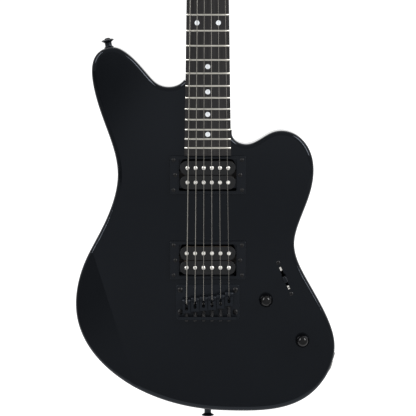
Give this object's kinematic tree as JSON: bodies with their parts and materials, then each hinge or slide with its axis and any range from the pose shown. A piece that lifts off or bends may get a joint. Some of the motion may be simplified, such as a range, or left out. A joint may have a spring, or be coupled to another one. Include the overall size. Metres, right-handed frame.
{
  "type": "electric guitar",
  "caption": "Solid-body electric guitar with an offset-waist body, bolt-on neck, two humbucking pickups, fixed string-through bridge and geared tuners.",
  "frame": {"origin": "seat of the tail strap button, on the centre line and in the middle of the body's thickness", "axes": "+Z from the tail to the headstock, +X to the right as seen from the front, +Y to the back; the strings face -Y"},
  "size_m": [0.319, 0.0678, 0.9725],
  "materials": {
    "body_lacquer": "high gloss polyester lacquer over wood",
    "neck_satin": "gloss black lacquer on maple",
    "ebony": "oiled dark wood, fine grain",
    "fret_nickel": "polished nickel silver",
    "dot_white": "polished",
    "nut_black": "polished graphite composite",
    "steel": "plain",
    "black_plastic": "satin moulded",
    "bobbin_black": "satin moulded",
    "pole_nickel": "nickel plated",
    "copper_wire": "enamelled copper under tape",
    "magnet_grey": "rough cast",
    "plated_steel": "plated",
    "black_metal": "satin black plating",
    "black_screw": "black oxide",
    "string_steel": "nickel plated steel",
    "knob_black": "glossy",
    "pot_metal": "stamped",
    "wire_cover": "cloth and plastic insulation",
    "cover_black": "fine moulded grain"
  },
  "bodies": {
    "guitar": {"neck": "neck_satin", "fingerboard": "ebony", "position_markers": "dot_white", "frets": "fret_nickel", "nut": "nut_black", "truss_rod": "steel", "truss_rod_cover": "black_plastic", "strap_buttons": "black_metal", "neck_screw_cups": "black_metal", "wood_screws": "black_screw", "pickup_rings": "black_plastic", "pickup_bobbins": "bobbin_black", "pickup_coils": "copper_wire", "pickup_poles": "pole_nickel", "pickup_magnets": "magnet_grey", "pickup_baseplates": "plated_steel", "pickup_springs": "steel", "pickup_screws": "black_screw", "bridge_plate": "black_metal", "intonation_springs": "steel", "string_ferrules": "black_metal", "tuner_housings": "black_metal", "tuner_bushings": "black_metal", "potentiometers": "pot_metal", "switch_frame": "plated_steel", "control_cover": "cover_black", "jack_plate": "black_metal", "output_jack": "plated_steel", "small_screws": "black_screw", "strings": "string_steel", "wiring": "wire_cover", "body": "body_lacquer"},
    "saddle_1_body": {"saddle_1": "black_metal"},
    "saddle_2_body": {"saddle_2": "black_metal"},
    "saddle_3_body": {"saddle_3": "black_metal"},
    "saddle_4_body": {"saddle_4": "black_metal"},
    "saddle_5_body": {"saddle_5": "black_metal"},
    "saddle_6_body": {"saddle_6": "black_metal"},
    "intonation_screw_1_body": {"intonation_screw_1": "black_screw"},
    "intonation_screw_2_body": {"intonation_screw_2": "black_screw"},
    "intonation_screw_3_body": {"intonation_screw_3": "black_screw"},
    "intonation_screw_4_body": {"intonation_screw_4": "black_screw"},
    "intonation_screw_5_body": {"intonation_screw_5": "black_screw"},
    "intonation_screw_6_body": {"intonation_screw_6": "black_screw"},
    "tuner_button_1_body": {"tuner_button_1": "black_metal"},
    "tuner_button_2_body": {"tuner_button_2": "black_metal"},
    "tuner_button_3_body": {"tuner_button_3": "black_metal"},
    "tuner_button_4_body": {"tuner_button_4": "black_metal"},
    "tuner_button_5_body": {"tuner_button_5": "black_metal"},
    "tuner_button_6_body": {"tuner_button_6": "black_metal"},
    "tuner_post_1_body": {"tuner_post_1": "black_metal"},
    "tuner_post_2_body": {"tuner_post_2": "black_metal"},
    "tuner_post_3_body": {"tuner_post_3": "black_metal"},
    "tuner_post_4_body": {"tuner_post_4": "black_metal"},
    "tuner_post_5_body": {"tuner_post_5": "black_metal"},
    "tuner_post_6_body": {"tuner_post_6": "black_metal"},
    "volume_knob_body": {"volume_knob": "knob_black"},
    "tone_knob_body": {"tone_knob": "knob_black"},
    "switch_lever_body": {"switch_lever": "black_plastic"}
  },
  "joints": [
    {"name": "intonation_1_turn", "type": "hinge", "parent": "guitar", "child": "intonation_screw_1_body", "pos_m": [-0.02587, -0.0309, 0.11224], "axis": [0, 0, -1], "range_deg": [-1440, 2880]},
    {"name": "saddle_1_slide", "type": "slide", "parent": "guitar", "child": "saddle_1_body", "axis": [0, 0, 1], "range_m": [-0.002, 0.004], "deforming": ["strings", "intonation_springs"]},
    {"name": "intonation_2_turn", "type": "hinge", "parent": "guitar", "child": "intonation_screw_2_body", "pos_m": [-0.01553, -0.0309, 0.11224], "axis": [0, 0, -1], "range_deg": [-2880, 2880]},
    {"name": "saddle_2_slide", "type": "slide", "parent": "guitar", "child": "saddle_2_body", "axis": [0, 0, 1], "range_m": [-0.004, 0.004], "deforming": ["strings", "intonation_springs"]},
    {"name": "intonation_3_turn", "type": "hinge", "parent": "guitar", "child": "intonation_screw_3_body", "pos_m": [-0.00517, -0.0309, 0.11224], "axis": [0, 0, -1], "range_deg": [-2880, 2880]},
    {"name": "saddle_3_slide", "type": "slide", "parent": "guitar", "child": "saddle_3_body", "axis": [0, 0, 1], "range_m": [-0.004, 0.004], "deforming": ["strings", "intonation_springs"]},
    {"name": "intonation_4_turn", "type": "hinge", "parent": "guitar", "child": "intonation_screw_4_body", "pos_m": [0.00517, -0.0309, 0.11224], "axis": [0, 0, -1], "range_deg": [-2880, 2880]},
    {"name": "saddle_4_slide", "type": "slide", "parent": "guitar", "child": "saddle_4_body", "axis": [0, 0, 1], "range_m": [-0.004, 0.004], "deforming": ["strings", "intonation_springs"]},
    {"name": "intonation_5_turn", "type": "hinge", "parent": "guitar", "child": "intonation_screw_5_body", "pos_m": [0.01553, -0.0309, 0.11224], "axis": [0, 0, -1], "range_deg": [-2880, 2880]},
    {"name": "saddle_5_slide", "type": "slide", "parent": "guitar", "child": "saddle_5_body", "axis": [0, 0, 1], "range_m": [-0.004, 0.004], "deforming": ["strings", "intonation_springs"]},
    {"name": "intonation_6_turn", "type": "hinge", "parent": "guitar", "child": "intonation_screw_6_body", "pos_m": [0.02587, -0.0309, 0.11224], "axis": [0, 0, -1], "range_deg": [-2880, 2880]},
    {"name": "saddle_6_slide", "type": "slide", "parent": "guitar", "child": "saddle_6_body", "axis": [0, 0, 1], "range_m": [-0.004, 0.004], "deforming": ["strings", "intonation_springs"]},
    {"name": "tuner_1_turn", "type": "hinge", "parent": "guitar", "child": "tuner_button_1_body", "pos_m": [-0.0265, 0.00462, 0.83698], "axis": [-1, 0, 0], "continuous": true},
    {"name": "post_1_turn", "type": "hinge", "parent": "guitar", "child": "tuner_post_1_body", "pos_m": [-0.0265, -0.01625, 0.83497], "axis": [0, -0.9781, 0.2079], "continuous": true, "deforming": ["strings"]},
    {"name": "tuner_2_turn", "type": "hinge", "parent": "guitar", "child": "tuner_button_2_body", "pos_m": [-0.0265, 0.01294, 0.8761], "axis": [-1, 0, 0], "continuous": true},
    {"name": "post_2_turn", "type": "hinge", "parent": "guitar", "child": "tuner_post_2_body", "pos_m": [-0.0265, -0.00793, 0.8741], "axis": [0, -0.9781, 0.2079], "continuous": true, "deforming": ["strings"]},
    {"name": "tuner_3_turn", "type": "hinge", "parent": "guitar", "child": "tuner_button_3_body", "pos_m": [-0.0265, 0.02125, 0.91523], "axis": [-1, 0, 0], "continuous": true},
    {"name": "post_3_turn", "type": "hinge", "parent": "guitar", "child": "tuner_post_3_body", "pos_m": [-0.0265, 0.00038, 0.91323], "axis": [0, -0.9781, 0.2079], "continuous": true, "deforming": ["strings"]},
    {"name": "tuner_4_turn", "type": "hinge", "parent": "guitar", "child": "tuner_button_4_body", "pos_m": [0.0265, 0.00462, 0.83698], "axis": [1, 0, 0], "continuous": true},
    {"name": "post_4_turn", "type": "hinge", "parent": "guitar", "child": "tuner_post_4_body", "pos_m": [0.0265, -0.01625, 0.83497], "axis": [0, -0.9781, 0.2079], "continuous": true, "deforming": ["strings"]},
    {"name": "tuner_5_turn", "type": "hinge", "parent": "guitar", "child": "tuner_button_5_body", "pos_m": [0.0265, 0.01294, 0.8761], "axis": [1, 0, 0], "continuous": true},
    {"name": "post_5_turn", "type": "hinge", "parent": "guitar", "child": "tuner_post_5_body", "pos_m": [0.0265, -0.00793, 0.8741], "axis": [0, -0.9781, 0.2079], "continuous": true, "deforming": ["strings"]},
    {"name": "tuner_6_turn", "type": "hinge", "parent": "guitar", "child": "tuner_button_6_body", "pos_m": [0.0265, 0.02125, 0.91523], "axis": [1, 0, 0], "continuous": true},
    {"name": "post_6_turn", "type": "hinge", "parent": "guitar", "child": "tuner_post_6_body", "pos_m": [0.0265, 0.00038, 0.91323], "axis": [0, -0.9781, 0.2079], "continuous": true, "deforming": ["strings"]},
    {"name": "volume_turn", "type": "hinge", "parent": "guitar", "child": "volume_knob_body", "pos_m": [0.07111, -0.0225, 0.13609], "axis": [0, -1, 0], "range_deg": [-150, 150]},
    {"name": "tone_turn", "type": "hinge", "parent": "guitar", "child": "tone_knob_body", "pos_m": [0.11569, -0.0225, 0.08649], "axis": [0, -1, 0], "range_deg": [-150, 150]},
    {"name": "switch_throw", "type": "hinge", "parent": "guitar", "child": "switch_lever_body", "pos_m": [0.094, -0.0085, 0.16242], "axis": [0.9205, 0, 0.3907], "range_deg": [-25, 25]}
  ],
  "couplings": [
    {"joint": "intonation_1_turn", "follows": "saddle_1_slide", "rad_per_m": 12566},
    {"joint": "intonation_2_turn", "follows": "saddle_2_slide", "rad_per_m": 12566},
    {"joint": "intonation_3_turn", "follows": "saddle_3_slide", "rad_per_m": 12566},
    {"joint": "intonation_4_turn", "follows": "saddle_4_slide", "rad_per_m": 12566},
    {"joint": "intonation_5_turn", "follows": "saddle_5_slide", "rad_per_m": 12566},
    {"joint": "intonation_6_turn", "follows": "saddle_6_slide", "rad_per_m": 12566},
    {"joint": "post_1_turn", "follows": "tuner_1_turn", "ratio": 0.066667},
    {"joint": "post_2_turn", "follows": "tuner_2_turn", "ratio": 0.066667},
    {"joint": "post_3_turn", "follows": "tuner_3_turn", "ratio": 0.066667},
    {"joint": "post_4_turn", "follows": "tuner_4_turn", "ratio": 0.066667},
    {"joint": "post_5_turn", "follows": "tuner_5_turn", "ratio": 0.066667},
    {"joint": "post_6_turn", "follows": "tuner_6_turn", "ratio": 0.066667}
  ]
}
